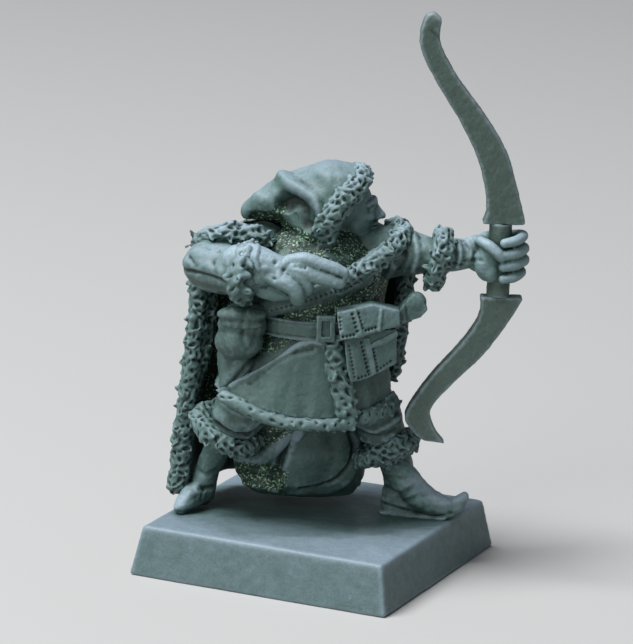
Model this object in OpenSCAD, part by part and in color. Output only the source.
// Crouching hooded archer miniature: a cast figure glued by its boot soles to a hollow square
// gaming base. The figure is drawn in its own frame: +X towards the target, -Y the side its chest
// faces, Z from the top of the base. on_base() turns and lifts it into the part's frame.

/* [Base] */
// Length of each side at the foot of the base
base_side = 20; // [18:0.5:30]
// Height of the base
base_height = 3.6; // [3:0.1:5]
// How far each sloping side leans in by the top
base_lean = 0.7; // [0.2:0.1:1.2]
// Thickness of the base's walls and top
base_wall = 1.2; // [0.8:0.1:1.5]
// Angle of the line through the feet, from the front edge of the base
stance_angle = 26; // [0:1:45]

/* [Legs] */
// Forward reach of the leading (left) boot's heel
left_heel_x = 5.4; // [4.5:0.1:6.5]
// Backward reach of the trailing (right) boot's heel
right_heel_x = 8; // [7:0.1:8.6]
// Length of the leading boot from heel to where the toe turns up
boot_length = 4.2; // [3.6:0.1:5]
// Half width of a boot's sole
boot_half_width = 1.05; // [0.8:0.05:1.3]
// Height of both knees above the base
knee_height = 8.2; // [7:0.1:9.4]

/* [Robe] */
// Height of the belt line above the base
belt_height = 14.2; // [12.5:0.1:16]
// Lowest point of the robe's hem above the base
hem_height = 8.4; // [7.6:0.1:9.2]
// Half width of the waist
waist_half_width = 4.3; // [3.8:0.1:5.2]
// Half width of the hem
hem_half_width = 6.1; // [5.4:0.1:6.4]
// Thickness of the front panels
panel_thickness = 0.45; // [0.3:0.05:0.7]
// Radius of the fur strips on the robe
trim_radius = 0.62; // [0.5:0.02:0.8]
// Height of the belt strap
belt_width = 1.3; // [1:0.1:1.8]
// Thickness of the belt strap
belt_thickness = 0.45; // [0.3:0.05:0.6]

/* [Cloak] */
// Thickness of the cloak
cloak_thickness = 0.6; // [0.4:0.05:0.9]
// Clearance of the cloak's lower edge above the base
cloak_clearance = 1.5; // [1:0.1:2.5]
// Radius of the cloak's fur edge
cloak_fur_radius = 0.72; // [0.5:0.02:0.9]

/* [Head] */
// Height of the shoulders above the belt line
torso_height = 5.4; // [4.6:0.1:6.6]
// Height of the centre of the head above the shoulders
head_rise = 2.9; // [2.6:0.1:3.4]
// Half height of the head
head_radius = 2.2; // [1.9:0.05:2.5]
// Radius of the fur round the hood's opening
hood_fur_radius = 0.72; // [0.5:0.02:0.9]

/* [Arms] */
// Reach of the bow hand from the middle of the figure
bow_reach = 12.3; // [11:0.1:14]
// Radius of the draw arm's sleeve
sleeve_radius = 1.7; // [1.4:0.05:2]
// Radius of the fur on the cuffs
cuff_fur_radius = 0.75; // [0.5:0.05:0.9]
// Radius of a finger
finger_radius = 0.42; // [0.34:0.02:0.5]

/* [Bow] */
// Radius of the bow's round grip
grip_radius = 0.8; // [0.65:0.05:0.95]
// Length of the grip between the two limbs
grip_length = 5.3; // [4.6:0.1:6]
// Thickness of the flat limbs
limb_thickness = 1.2; // [1:0.1:1.6]
// Length of the grip's spigots inside the limbs
spigot_length = 0.9; // [0.5:0.1:1.4]
// Radius of the grip's spigots
spigot_radius = 0.38; // [0.3:0.02:0.45]

/* [Hidden] */
primer = [0.44, 0.52, 0.55];
primer_dark = [0.36, 0.44, 0.45];
primer_light = [0.55, 0.61, 0.68];
fit_gap = 0.03;      // gap between pieces that lie against each other
shoulder_height = belt_height + torso_height;
smooth = 14;         // sides of the rounded shapes
small = 10;          // sides of the smallest rounded shapes

// ---- Landmarks in the figure's frame ----
left_ankle = [left_heel_x + 0.7, 0.7, 2.6];
right_ankle = [-right_heel_x - 0.1, 0.9, 2.6];
left_knee = [3.9, -1.2, knee_height];
right_knee = [-5.5, -2.0, knee_height];
right_toe = [-right_heel_x - 1.2, -0.7, 0.8];
left_toe = [left_heel_x + boot_length, -0.7, 0.6];
head_centre = [1.3, 0, shoulder_height + head_rise];
left_shoulder = [3.4, 0.5, shoulder_height];
right_shoulder = [-4.4, 0.6, shoulder_height - 0.3];
right_elbow = [-8.3, -1.5, shoulder_height - 1.1];
right_wrist = [-4.6, -4.1, shoulder_height - 1.2];
grip_centre = [bow_reach, -2, shoulder_height];
left_wrist = grip_centre + [-3.2, 0.3, 0.1];
left_cuff = grip_centre + [-4.4, 0.4, 0];
right_cuff = right_wrist + [-1.1, 0.3, 0.1];

// ---- Curves and swept shapes ----
function mix(a, b, t) = a + (b - a) * t;
function spline(p0, p1, p2, p3, t) =
    0.5 * (2 * p1 + (p2 - p0) * t + (2 * p0 - 5 * p1 + 4 * p2 - p3) * t * t
    + (3 * p1 - p0 - 3 * p2 + p3) * t * t * t);
// A point at share t of the way along a smooth curve through the listed values
function along(list, t) =
    let (last = len(list) - 1, u = t * last, i = min(floor(u), last - 1))
    spline(list[max(i - 1, 0)], list[i], list[i + 1], list[min(i + 2, last)], u - i);
function curve(list, steps) = [for (i = [0 : steps]) along(list, i / steps)];

// Triangles that join closed rings of the same number of points, with a fan at each end
function ring_faces(rings, sides) = concat(
    [for (i = [0 : rings - 2], j = [0 : sides - 1]) let (k = (j + 1) % sides)
        [i * sides + j, (i + 1) * sides + k, i * sides + k]],
    [for (i = [0 : rings - 2], j = [0 : sides - 1]) let (k = (j + 1) % sides)
        [i * sides + j, (i + 1) * sides + j, (i + 1) * sides + k]],
    [for (j = [0 : sides - 1]) [rings * sides, j, (j + 1) % sides]],
    [for (j = [0 : sides - 1])
        [rings * sides + 1, (rings - 1) * sides + (j + 1) % sides, (rings - 1) * sides + j]]);
function middle(points) = [for (k = [0 : 2]) sum([for (p = points) p[k]]) / len(points)];
function sum(list) = [for (x = list) 1] * list;

// A closed solid through rings of points, listed from the lowest ring up, each anticlockwise
module ring_solid(rings) {
    sides = len(rings[0]);
    points = [for (r = rings, p = r) p];
    polyhedron(concat(points, [middle(rings[0]), middle(rings[len(rings) - 1])]),
        ring_faces(len(rings), sides));
}

// A ball or ellipsoid
module ball(p, r, sides = smooth) {
    translate([p[0], p[1], p[2]]) scale(r) sphere(1, $fn = sides);
}

// A limb through stations [x, y, z, radius], squashed by flat
module limb(stations, steps = 8, flat = [1, 1, 1], sides = smooth) {
    path = curve(stations, steps);
    for (i = [0 : steps - 1])
        hull() {
            ball(path[i], path[i][3] * flat, sides);
            ball(path[i + 1], path[i + 1][3] * flat, sides);
        }
}

// A ring of round section about an axis, its two radii along side and across
module fur_ring(centre, side, across, radius, steps = 12, sides = small) {
    function place(i) = centre + side * cos(i * 360 / steps) + across * sin(i * 360 / steps);
    for (i = [0 : steps - 1])
        hull() {
            ball(place(i), [1, 1, 1] * radius, sides);
            ball(place(i + 1), [1, 1, 1] * radius, sides);
        }
}

module rounded_box(size, r, sides = small) {
    hull()
        for (x = [-1, 1], y = [-1, 1], z = [-1, 1])
            translate([x * (size[0] / 2 - r), y * (size[1] / 2 - r), z * (size[2] / 2 - r)])
                sphere(r, $fn = sides);
}

module on_base() {
    translate([0, 0, base_height]) rotate([0, 0, stance_angle]) children();
}

// ---- Base ----
module trapezoid_prism(foot, top, height, length) {
    rotate([90, 0, 0]) linear_extrude(length, center = true)
        polygon([[-foot / 2, 0], [foot / 2, 0], [top / 2, height], [-top / 2, height]]);
}

module sloped_block(foot, top, height) {
    intersection() {
        trapezoid_prism(foot, top, height, foot + 1);
        rotate([0, 0, 90]) trapezoid_prism(foot, top, height, foot + 1);
    }
}

module base() {
    top_side = base_side - 2 * base_lean;
    color(primer_light) difference() {
        sloped_block(base_side, top_side, base_height);
        translate([0, 0, -base_wall])
            sloped_block(base_side - 2 * base_wall, top_side - 2 * base_wall, base_height);
    }
}

// ---- Legs ----
module below_ground() {
    translate([-20, -20, -5]) cube([40, 40, 5]);
}

module left_boot_shape() {
    shin_top = mix(left_knee, left_ankle, 0.5);
    limb([[each shin_top, 1.15], [each left_ankle, 1.15], [left_heel_x + 0.5, 0.6, 1.1, 1.15]], 3);
    limb([[left_heel_x + 0.4, 0.6, 0.7, 1.1], [left_heel_x + 2.0, 0.1, 1.1, 1.15],
        [each mix([left_heel_x, 0.5, 0.9], left_toe, 0.75), 0.85],
        [each left_toe, 0.62], [each left_toe + [1.1, 0.25, 1.0], 0.34]], 6,
        [1, boot_half_width / 1.05, 1]);
    // Welt left by the casting along the sole
    translate([left_heel_x + 1.8, 0.1, 0.15]) rotate([0, 0, -14]) rounded_box([4.9, 2.0, 0.3], 0.14);
}

module right_boot_shape() {
    shin_top = mix(right_knee, right_ankle, 0.45);
    limb([[each shin_top, 1.2], [each right_ankle, 1.1], [-right_heel_x + 0.1, 0.9, 1, 1.2]], 4);
    limb([[-right_heel_x - 0.1, 0.9, 0.8, 1.1], [each mix([-right_heel_x, 0.9, 1], right_toe, 0.5), 1.15],
        [each right_toe, 1.05]], 4, [1, boot_half_width / 1.05, 1]);
}

module left_boot() {
    color(primer) on_base() difference() {
        left_boot_shape();
        below_ground();
    }
}

module right_boot() {
    color(primer) on_base() difference() {
        right_boot_shape();
        below_ground();
    }
}

module left_trouser_shape() {
    shin = mix(left_knee, left_ankle, 0.45);
    limb([[1.2, -0.4, belt_height - 4, 2.2], [2.8, -0.9, knee_height + 1.2, 2.1],
        [each left_knee, 1.75], [each shin, 1.45]], 8);
}

module right_trouser_shape() {
    shin = mix(right_knee, right_ankle, 0.35);
    limb([[-1.8, -0.6, belt_height - 3.6, 2.4], [-4.0, -1.6, knee_height + 1.8, 2.3],
        [each right_knee, 1.9], [each shin, 1.5]], 8);
}

module left_trouser() {
    color(primer_dark) on_base() difference() {
        left_trouser_shape();
        panelled_skirt();
        tail_shape();
        left_boot_shape();
    }
}

module right_trouser() {
    color(primer) on_base() difference() {
        right_trouser_shape();
        panelled_skirt();
        tail_shape();
        right_boot_shape();
    }
}

module left_boot_fur_shape() {
    fur_ring(mix(left_knee, left_ankle, 0.48) + [0.3, 0, 0], [1.4, 0, 0.95], [0, 1.25, 0.3], 0.68);
}

module right_boot_fur_shape() {
    fur_ring(mix(right_knee, right_ankle, 0.32) + [-0.3, 0, 0], [1.9, 0, -0.75], [0, 1.7, 0.6], 0.8);
}

module left_boot_fur() {
    color(primer) on_base() difference() {
        left_boot_fur_shape();
        left_boot_shape();
        left_trouser_shape();
        tail_shape();
        cloak_shape();
    }
}

module right_boot_fur() {
    color(primer) on_base() difference() {
        right_boot_fur_shape();
        right_boot_shape();
        right_trouser_shape();
        tail_shape();
    }
}

// ---- Robe ----
ring_sides = 28;
function ellipse_at(c, rx, ry, z) =
    [for (j = [0 : ring_sides - 1]) let (a = j * 360 / ring_sides)
        [c[0] + rx * cos(a), c[1] + ry * sin(a), z]];

// Height of the hem at angle a: lifted where the trailing knee pushes the cloth up
function hem_z(a) = hem_height + 1.0 * (1 - cos(a + 75)) / 2 + 0.9 * max(0, -cos(a));
// A point of the skirt at angle a and share h of the way down, standing off by gap
function skirt_point(a, h, gap = 0) =
    let (rx = mix(waist_half_width, hem_half_width, pow(h, 0.85)) + 0.14 * h * cos(7 * a + 40) + gap,
        ry = mix(3.4, 4.2, h) + 0.1 * h * cos(5 * a) + gap)
    [mix(0.1, -1.5, h) + rx * cos(a), mix(-0.5, -0.8, h) + ry * sin(a),
        mix(belt_height, hem_z(a), h)];

module skirt_shape(gap = 0) {
    levels = 6;
    ring_solid([for (i = [0 : levels]) [for (j = [0 : ring_sides - 1])
        skirt_point(j * 360 / ring_sides, 1 - i / levels, gap)]]);
}

// The skirt with its front panels on, for cutting whatever hangs over them
module panelled_skirt() {
    skirt_shape();
    skirt_shape(panel_thickness + 3 * panel_gap);
}

module body_shape() {
    z0 = belt_height;
    z1 = shoulder_height;
    ring_solid([
        ellipse_at([0.1, -0.5], waist_half_width, 3.3, z0),
        ellipse_at([-0.1, -0.5], waist_half_width + 0.2, 3.3, mix(z0, z1, 0.35)),
        ellipse_at([-0.3, -0.3], waist_half_width + 0.5, 3.2, mix(z0, z1, 0.7)),
        ellipse_at([-0.4, 0], waist_half_width + 0.3, 2.9, z1),
        ellipse_at([-0.4, 0.2], waist_half_width - 0.9, 2.4, z1 + 1),
        ellipse_at([-0.2, 0.2], 1.9, 1.7, z1 + 1.5)]);
}

module robe_skirt() {
    color(primer_dark) on_base() skirt_shape();
}

module robe_body() {
    color(primer_dark) on_base() difference() {
        body_shape();
        right_sleeve_shape();
        left_sleeve_shape();
    }
}

// The back of the robe, which hangs between and behind the legs
module tail_shape() {
    z0 = 1.1;
    z1 = hem_height + 0.9;
    ring_solid([
        ellipse_at([-0.9, 1.7], 3.6, 1.4, z0),
        ellipse_at([-1.2, 1.5], 4.6, 2.3, mix(z0, z1, 0.15)),
        ellipse_at([-1.3, 1.4], 4.9, 2.6, mix(z0, z1, 0.4)),
        ellipse_at([-1.2, 1.2], 4.7, 2.6, mix(z0, z1, 0.7)),
        ellipse_at([-1.1, 0.9], 4.5, 2.5, z1)]);
}

module robe_tail() {
    color(primer_dark) on_base() difference() {
        tail_shape();
        skirt_shape();
        right_boot_shape();
        left_boot_shape();
    }
}

// A panel of the front lies on the skirt between two angles at the belt and two at the hem
right_panel = [[-104, -156], [-80, -63]];
left_panel = [[-77, -60], [-24, -8]];
panel_gap = fit_gap;

function panel_ring(edges, h) =
    let (a0 = mix(edges[0][0], edges[0][1], h), a1 = mix(edges[1][0], edges[1][1], h), n = 9)
    concat([for (i = [0 : n]) skirt_point(mix(a0, a1, i / n), h, panel_gap + panel_thickness)],
        [for (i = [0 : n]) skirt_point(mix(a1, a0, i / n), h, panel_gap)]);

module front_panel(edges) {
    levels = 6;
    ring_solid([for (i = [0 : levels]) panel_ring(edges, mix(0.99, 0.06, i / levels))]);
}

module right_front_panel() {
    color(primer) on_base() front_panel(right_panel);
}

module left_front_panel() {
    color(primer) on_base() front_panel(left_panel);
}

function hem_path(a0, a1, steps) = [for (i = [0 : steps])
    [each skirt_point(mix(a0, a1, i / steps), 1, panel_thickness + 0.1), trim_radius]];

module right_hem_fur_shape() {
    limb(hem_path(-143, -64, 5), 10, [1, 1, 1.1], small);
}

module left_hem_fur_shape() {
    limb(hem_path(-48, -10, 4), 8, [1, 1, 1.1], small);
}

module right_hem_fur() {
    color(primer_light) on_base() difference() {
        right_hem_fur_shape();
        panelled_skirt();
        right_trouser_shape();
        left_trouser_shape();
    }
}

module left_hem_fur() {
    color(primer_light) on_base() difference() {
        left_hem_fur_shape();
        panelled_skirt();
        left_trouser_shape();
    }
}

module placket_shape() {
    start = 0.8 / (belt_height - hem_height);
    path = [for (h = [start, 0.4, 0.7, 0.93])
        [each skirt_point(mix(-85, -62, h), h, panel_thickness + 0.15), trim_radius * mix(0.9, 1.1, h)]];
    limb(path, 8, [1, 1, 1], small);
}

module placket_fur() {
    color(primer_light) on_base() difference() {
        placket_shape();
        panelled_skirt();
        right_hem_fur_shape();
        left_hem_fur_shape();
        belt_shape();
    }
}

// ---- Belt and what hangs on it ----
belt_ease = 0.35;    // how far the belt stands off the waist
belt_middle = [0.1, -0.5];
belt_rx = waist_half_width + belt_ease;
belt_ry = 3.3 + belt_ease;

module belt_outline(out) {
    polygon([for (j = [0 : ring_sides * 2 - 1]) let (a = j * 180 / ring_sides)
        belt_middle + [(belt_rx + out) * cos(a), (belt_ry + out) * sin(a)]]);
}

module belt_shape() {
    translate([0, 0, belt_height - 0.3]) linear_extrude(belt_width) difference() {
        belt_outline(belt_thickness);
        belt_outline(0);
    }
}

module belt() {
    color(primer_dark) on_base() belt_shape();
}

buckle_size = [1.25, 0.5, belt_width + 0.5];
buckle_frame = 0.3;    // width of the buckle's frame
buckle_angle = -90;    // where the buckle sits round the belt

module at_buckle() {
    rx = belt_rx + belt_thickness;
    ry = belt_ry + belt_thickness;
    turn = atan2(rx * sin(buckle_angle), ry * cos(buckle_angle)) + 90;
    translate([belt_middle[0] + rx * cos(buckle_angle), belt_middle[1] + ry * sin(buckle_angle),
            belt_height + belt_width / 2 + 0.1])
        rotate([0, 0, turn]) translate([0, -buckle_size[1] / 2 - fit_gap, 0]) children();
}

module belt_buckle() {
    color(primer) on_base() at_buckle() difference() {
        cube(buckle_size, center = true);
        translate([0, -0.3, 0])
            cube(buckle_size - [2 * buckle_frame, 0, 2 * buckle_frame], center = true);
    }
}

// A strap across the chest, from the right hip up under the draw hand
module baldric_shape() {
    z0 = belt_height + 1.6;
    z1 = shoulder_height - 1.3;
    limb([[-4.3, -2.7, z0, 0.8], [-2.0, -3.45, mix(z0, z1, 0.28), 0.8],
        [0.4, -3.6, mix(z0, z1, 0.64), 0.8], [2.6, -3.05, z1, 0.8]], 8, [1, 0.45, 0.9]);
}

module baldric() {
    color(primer) on_base() difference() {
        baldric_shape();
        body_shape();
        belt_shape();
        collar_shape();
    }
}

pouch_centre = [-6.0, -3.6, belt_height - 0.5];

module pouch_shape() {
    limb([[each pouch_centre + [0.3, 0.3, 1.6], 1.1], [each pouch_centre + [0.1, 0, 0.4], 1.55],
        [each pouch_centre + [0, 0, -0.7], 1.5]], 6, [1.05, 0.8, 1]);
}

module flap_shape() {
    limb([[each pouch_centre + [-0.8, -0.35, 1.5], 0.95], [each pouch_centre + [0.4, -0.5, 1.5], 1.0],
        [each pouch_centre + [1.3, -0.2, 1.4], 0.85]], 3, [1, 1, 1.05]);
}

module belt_pouch() {
    color(primer) on_base() difference() {
        pouch_shape();
        panelled_skirt();
        body_shape();
        belt_shape();
        baldric_shape();
    }
}

module pouch_flap() {
    color(primer) on_base() difference() {
        flap_shape();
        pouch_shape();
        panelled_skirt();
        body_shape();
        belt_shape();
        baldric_shape();
    }
}

satchel_turn = 24;
module at_satchel() {
    translate([3.4, -4.85, belt_height - 0.8]) rotate([0, -7, satchel_turn]) children();
}

module satchel_shape() {
    at_satchel() rounded_box([3.7, 1.5, 3.8], 0.3);
}

module satchel_flap_shape() {
    at_satchel() translate([0.05, 0.05, 2.15]) rotate([-6, 0, 0]) rounded_box([4.4, 2.3, 2.05], 0.35);
}

module satchel_strap_shape() {
    at_satchel() {
        translate([-0.1, -0.95, 0]) rounded_box([1.0, 0.7, 3.9], 0.2);
        translate([-0.1, -1.12, 2.2]) rotate([-6, 0, 0]) rounded_box([1.0, 0.6, 1.95], 0.2);
    }
}

module satchel() {
    color(primer) on_base() difference() {
        satchel_shape();
        satchel_flap_shape();
        panelled_skirt();
        placket_shape();
        belt_shape();
    }
}

module satchel_flap() {
    color(primer_light) on_base() difference() {
        satchel_flap_shape();
        panelled_skirt();
        body_shape();
        placket_shape();
        belt_shape();
        collar_shape();
        at_buckle() cube(buckle_size + [1, 1, 1] * 2 * fit_gap, center = true);
    }
}

module satchel_strap() {
    color(primer_light) on_base() difference() {
        satchel_strap_shape();
        satchel_shape();
        satchel_flap_shape();
        placket_shape();
    }
}

module knife_shape() {
    limb([[4.9, -2.5, belt_height + 0.8, 0.6], [5.7, -2.7, belt_height + 1.5, 0.65],
        [6.5, -2.8, belt_height + 2.3, 0.76]], 5, [1, 0.8, 1]);
}

module knife_handle() {
    color(primer) on_base() difference() {
        knife_shape();
        panelled_skirt();
        body_shape();
        belt_shape();
        satchel_flap_shape();
        cloak_shape();
    }
}

// ---- Cloak ----
// Stations down the cloak: left and right reach, depth of the middle, back reach, height, edge angles
cloak_stations = [
    [-3.4, 2.4, 0.8, 2.2, shoulder_height + 1.7, 25, 155],
    [-7.4, 4.9, 1.2, 2.6, shoulder_height + 1.2, 18, 166],
    [-8.9, 5.8, 1.4, 3.0, shoulder_height - 0.8, 4, 177],
    [-8.8, 5.7, 1.4, 3.6, shoulder_height - 4.2, -8, 186],
    [-9.1, 5.2, 1.4, 4.1, 11, -12, 190],
    [-9.5, 3.9, 1.6, 4.4, 6, -8, 191],
    [-9.8, 3.0, 1.8, 4.6, cloak_clearance, -4, 192]];

function cloak_point(s, h, gap) =
    let (k = along(cloak_stations, h), a = mix(k[5], k[6], s),
        fold = 0.28 * h * cos(9 * a + 30), rx = (k[1] - k[0]) / 2 + gap + fold, ry = k[3] + gap + fold)
    [(k[0] + k[1]) / 2 + rx * cos(a), k[2] + ry * sin(a), k[4]];

function cloak_ring(h) = let (n = 24) concat(
    [for (i = [0 : n]) cloak_point(i / n, h, 0)],
    [for (i = [0 : n]) cloak_point(1 - i / n, h, -cloak_thickness)]);

module cloak_shape() {
    levels = 11;
    ring_solid([for (i = [0 : levels]) cloak_ring(1 - i / levels)]);
}

module cloak() {
    color(primer_dark) on_base() difference() {
        cloak_shape();
        right_sleeve_shape();
        left_sleeve_shape();
        body_shape();
        panelled_skirt();
        belt_shape();
        hood_shape();
        right_boot_shape();
        tail_shape();
    }
}

function cloak_edge(s, h0, h1, out) = [for (i = [0 : 6])
    [each cloak_point(s, mix(h0, h1, i / 6), out), cloak_fur_radius * mix(0.85, 1.1, i / 6)]];

module cloak_fur_right() {
    color(primer) on_base() difference() {
        limb(cloak_edge(1, 0.3, 0.985, 0.1), 12, [1, 1, 1], small);
        cloak_shape();
        right_sleeve_shape();
        shoulder_fur_shape();
        right_boot_shape();
        right_boot_fur_shape();
    }
}

module cloak_fur_left() {
    color(primer) on_base() difference() {
        limb(cloak_edge(0, 0.36, 0.68, 0), 8, [1, 1, 1], small);
        cloak_shape();
        left_sleeve_shape();
        panelled_skirt();
        left_hem_fur_shape();
        knife_shape();
        belt_shape();
    }
}

module shoulder_fur_shape() {
    limb([[-8.9, 0.5, shoulder_height + 0.1, 0.65], [-8.2, -0.9, shoulder_height + 0.9, 0.7],
        [-6.8, -1.2, shoulder_height + 1.2, 0.75], [-5.5, -1.3, shoulder_height + 1.2, 0.7],
        [-4.4, -1.4, shoulder_height + 0.9, 0.6]], 9, [1, 1, 1], small);
}

module shoulder_fur() {
    color(primer) on_base() difference() {
        shoulder_fur_shape();
        right_sleeve_shape();
        body_shape();
        cloak_shape();
        hood_shape();
    }
}

module collar_shape() {
    limb([[0.9, -3.6, shoulder_height - 1.7, 0.62], [2.6, -3.5, shoulder_height - 0.6, 0.72],
        [4.2, -2.8, shoulder_height + 0.4, 0.78], [5.3, -1.6, shoulder_height + 1.3, 0.8],
        [5.4, 0.2, shoulder_height + 1.6, 0.75], [4.7, 1.6, shoulder_height + 1.3, 0.6]], 10,
        [1, 1, 1], small);
}

module collar_fur() {
    color(primer_light) on_base() difference() {
        collar_shape();
        body_shape();
        left_sleeve_shape();
        cloak_shape();
        hood_shape();
        hood_fur_shape();
    }
}

// ---- Arms ----
module left_sleeve_shape() {
    limb([[each left_shoulder + [-0.6, 0, -0.3], 1.9], [each mix(left_shoulder, left_cuff, 0.4), 1.7],
        [each mix(left_shoulder, left_cuff, 0.75), 1.3], [each left_cuff, 1.15]], 8);
}

module right_sleeve_shape() {
    limb([[each right_shoulder, sleeve_radius + 0.2], [each mix(right_shoulder, right_elbow, 0.6), sleeve_radius + 0.1],
        [each right_elbow, sleeve_radius], [each mix(right_elbow, right_cuff, 0.55), sleeve_radius],
        [each right_cuff, sleeve_radius - 0.1]], 10);
}

module left_sleeve() {
    color(primer_dark) on_base() difference() {
        left_sleeve_shape();
        bow_hand_shape();
    }
}

module right_sleeve() {
    color(primer) on_base() difference() {
        right_sleeve_shape();
        draw_hand_shape();
    }
}

module left_cuff_shape() {
    fur_ring(left_cuff + [0.1, 0, -0.15], [0.25, 0, 1.55], [0, 1.3, 0], cuff_fur_radius);
}

module right_cuff_shape() {
    fur_ring(right_cuff, [0.1, 0.15, 1.45], [0.5, 1.3, 0], cuff_fur_radius);
}

module left_cuff_fur() {
    color(primer) on_base() difference() {
        left_cuff_shape();
        left_sleeve_shape();
        bow_hand_shape();
    }
}

module right_cuff_fur() {
    color(primer_light) on_base() difference() {
        right_cuff_shape();
        right_sleeve_shape();
        draw_hand_shape();
        shoulder_fur_shape();
        body_shape();
        flap_shape();
    }
}

module finger(points, r) {
    limb([for (p = points) [each p, r]], 4, [1, 1, 1], small);
}

finger_pitch = finger_radius * 2.02;   // spacing of the fingers round the grip
module bow_hand_shape() {
    g = grip_centre;
    reach = grip_radius + finger_radius;
    limb([[each left_wrist + [-0.6, 0, 0], 1.05], [each left_wrist + [1.0, -0.1, 0], 1.15],
        [g[0] - 1.2, g[1], g[2], 1.25]], 4);
    hull() {
        ball(g + [-1.1, 0.2, 0.7], [0.9, 1.0, 0.9]);
        ball(g + [-1.0, 0.2, -0.8], [0.9, 1.0, 0.9]);
    }
    for (i = [0 : 3]) {
        z = (1.5 - i) * finger_pitch;
        finger([g + [-1.7, -0.7, z * 0.9], g + [-0.3, -reach - 0.12, z],
            g + [reach + 0.05, -reach * 0.6, z + 0.1], g + [reach, reach * 0.5, z + 0.1]], finger_radius);
    }
    finger([g + [-1.3, 0.9, 0.9], g + [-0.2, reach + 0.1, 1.0], g + [0.8, reach, 1.0]], finger_radius * 1.1);
}

module bow_hand() {
    color(primer) on_base() difference() {
        bow_hand_shape();
        translate([grip_centre[0], grip_centre[1], grip_centre[2] - 6])
            cylinder(12, grip_radius + fit_gap, grip_radius + fit_gap, $fn = 32);
    }
}

module draw_hand_shape() {
    w = right_wrist;
    limb([[each w + [-0.5, 0.2, 0], 1.05], [each w + [0.9, -0.3, 0.3], 1.1],
        [each w + [2.3, -0.7, 0.6], 1.05]], 4, [1, 0.75, 1.05]);
    finger([w + [2.4, -0.9, 1.1], w + [3.8, -1.0, 0.7], w + [5.8, -0.9, -0.1]], finger_radius * 1.1);
    finger([w + [2.4, -0.9, 0.4], w + [3.8, -1.0, 0.0], w + [5.5, -0.9, -0.6]], finger_radius * 1.1);
    finger([w + [2.2, -0.8, -0.1], w + [3.2, -1.1, -0.8], w + [3.1, -1.0, -1.9]], finger_radius);
    finger([w + [1.6, -0.7, -0.5], w + [2.4, -1.0, -1.1], w + [2.2, -0.9, -2.1]], finger_radius);
    finger([w + [0.6, -0.8, -0.2], w + [1.3, -1.3, -0.9], w + [2.0, -1.2, -1.5]], finger_radius * 1.1);
}

module draw_hand() {
    color(primer_light) on_base() difference() {
        draw_hand_shape();
        body_shape();
        baldric_shape();
        collar_shape();
    }
}

// ---- Head ----
module head_shape() {
    c = head_centre;
    limb([[each c + [-0.2, 0, 0.3], head_radius * 0.9], [each c + [0.7, 0, -0.2], head_radius * 0.8],
        [each c + [1.0, 0, -1.2], head_radius * 0.6]], 4, [1, 0.88, 1]);
    limb([[each c + [1.9, 0, 0.6], 0.36], [each c + [2.5, 0, 0.1], 0.42], [each c + [2.6, 0, -0.2], 0.42]], 3,
        [1, 1, 1], small);
    ball(c + [1.8, 0, -1.7], [0.65, 0.75, 0.55], small);
}

module head() {
    color(primer_dark) on_base() difference() {
        head_shape();
        body_shape();
        left_sleeve_shape();
    }
}

module face_opening() {
    translate(head_centre + [0.2, 0, 0]) rotate([0, 25, 0]) translate([0, -6, -7]) cube([12, 12, 14]);
}

module hood_shape() {
    c = head_centre;
    difference() {
        union() {
            hull() {
                ball(c + [-0.9, 0.1, 0.5], [2.9, 2.8, 2.95]);
                ball(c + [0.5, 0, 0.4], [2.2, 2.5, 2.75]);
                ball(c + [-1.6, 0.2, -1.4], [2.9, 2.8, 1.9]);
                ball(c + [0.0, 0, -1.9], [2.0, 2.4, 1.4]);
                ball(c + [-3.6, 0.1, 0.9], [1.5, 1.6, 1.3]);
            }
            limb([[each c + [-1.6, 0.2, 0.9], 2.3], [each c + [-3.6, 0.3, 0.7], 1.75],
                [each c + [-5.4, 0.4, 0.1], 1.2], [each c + [-6.7, 0.5, -0.4], 0.62]], 7);
        }
        face_opening();
    }
}

module hood() {
    color(primer_light) on_base() difference() {
        hood_shape();
        head_shape();
        body_shape();
        left_sleeve_shape();
        right_sleeve_shape();
    }
}

module hood_fur_shape() {
    fur_ring(head_centre + [0.3, 0, 0.1], [1.16, 0, 2.5], [0, 2.2, 0], hood_fur_radius, 14);
}

module hood_fur() {
    color(primer_light) on_base() difference() {
        hood_fur_shape();
        hood_shape();
        head_shape();
        body_shape();
        left_sleeve_shape();
        cloak_shape();
    }
}

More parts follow.
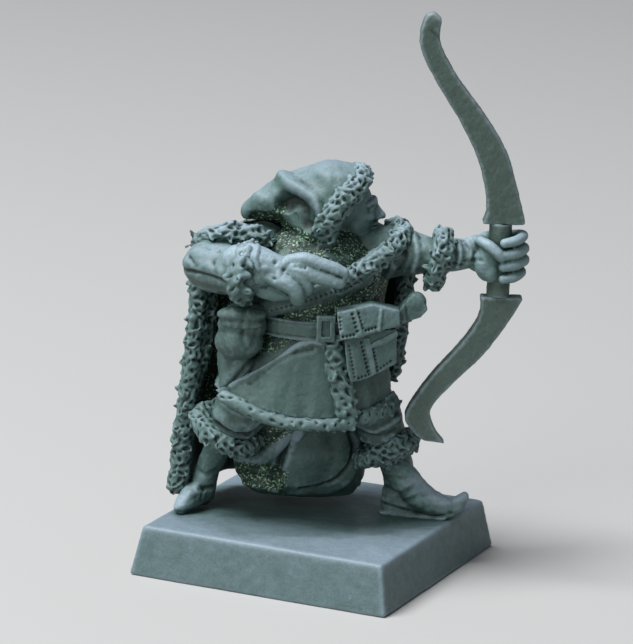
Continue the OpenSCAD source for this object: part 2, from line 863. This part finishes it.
// ---- Bow ----
// Edges of each limb as [x, z] from the middle of the grip, from the grip out to the tip
upper_back = [[-1.3, 0], [-1.0, 1.25], [-1.6, 4.1], [-3.0, 7.0], [-5.1, 10.3], [-6.2, 12.7], [-5.9, 14.6], [-5.3, 14.9]];
upper_belly = [[1.7, 0], [1.1, 2.3], [0.1, 5.3], [-1.6, 7.9], [-3.4, 10.2], [-4.7, 12.4], [-4.9, 13.6], [-4.8, 14.5]];
lower_back = [[-1.2, 0], [-1.2, -1.4], [-2.3, -3.3], [-4.3, -5.7], [-5.8, -7.9], [-6.2, -9.2], [-5.1, -10.5], [-4.1, -10.7]];
lower_belly = [[1.8, 0], [0.8, -1.8], [-0.7, -4.0], [-2.7, -6.1], [-4.1, -7.7], [-4.5, -8.7], [-4.1, -9.9], [-3.4, -10.8]];

module bow_limb(back, belly, spigot_down) {
    difference() {
        rotate([90, 0, 0]) linear_extrude(limb_thickness, center = true)
            polygon(concat(curve(back, 18), [for (i = [0 : 18]) curve(belly, 18)[18 - i]]));
        translate([0, 0, spigot_down ? -spigot_length : 0]) translate([0, 0, spigot_down ? 0 : -0.5])
            cylinder(spigot_length + 0.5, spigot_radius + fit_gap, spigot_radius + fit_gap, $fn = 32);
    }
}

module at_grip_end(up) {
    translate(grip_centre + [0, 0, up * grip_length / 2]) children();
}

module bow_upper_limb() {
    color(primer_dark) on_base() at_grip_end(1) difference() {
        bow_limb(upper_back, upper_belly, false);
        translate([-5, -5, -5]) cube([10, 10, 5]);
    }
}

module bow_lower_limb() {
    color(primer_dark) on_base() at_grip_end(-1) difference() {
        bow_limb(lower_back, lower_belly, true);
        translate([-5, -5, 0]) cube([10, 10, 5]);
    }
}

module bow_grip() {
    color(primer_dark) on_base() translate(grip_centre) {
        cylinder(grip_length, grip_radius, grip_radius, center = true, $fn = 48);
        cylinder(grip_length + 2 * spigot_length - 0.1, spigot_radius, spigot_radius, center = true, $fn = 48);
    }
}

base();
left_boot();
right_boot();
left_boot_fur();
right_boot_fur();
left_trouser();
right_trouser();
robe_body();
robe_skirt();
robe_tail();
right_front_panel();
left_front_panel();
right_hem_fur();
left_hem_fur();
placket_fur();
belt();
belt_buckle();
baldric();
belt_pouch();
pouch_flap();
satchel();
satchel_flap();
satchel_strap();
knife_handle();
cloak();
cloak_fur_right();
cloak_fur_left();
shoulder_fur();
collar_fur();
left_sleeve();
left_cuff_fur();
bow_hand();
right_sleeve();
right_cuff_fur();
draw_hand();
head();
hood();
hood_fur();
bow_grip();
bow_upper_limb();
bow_lower_limb();
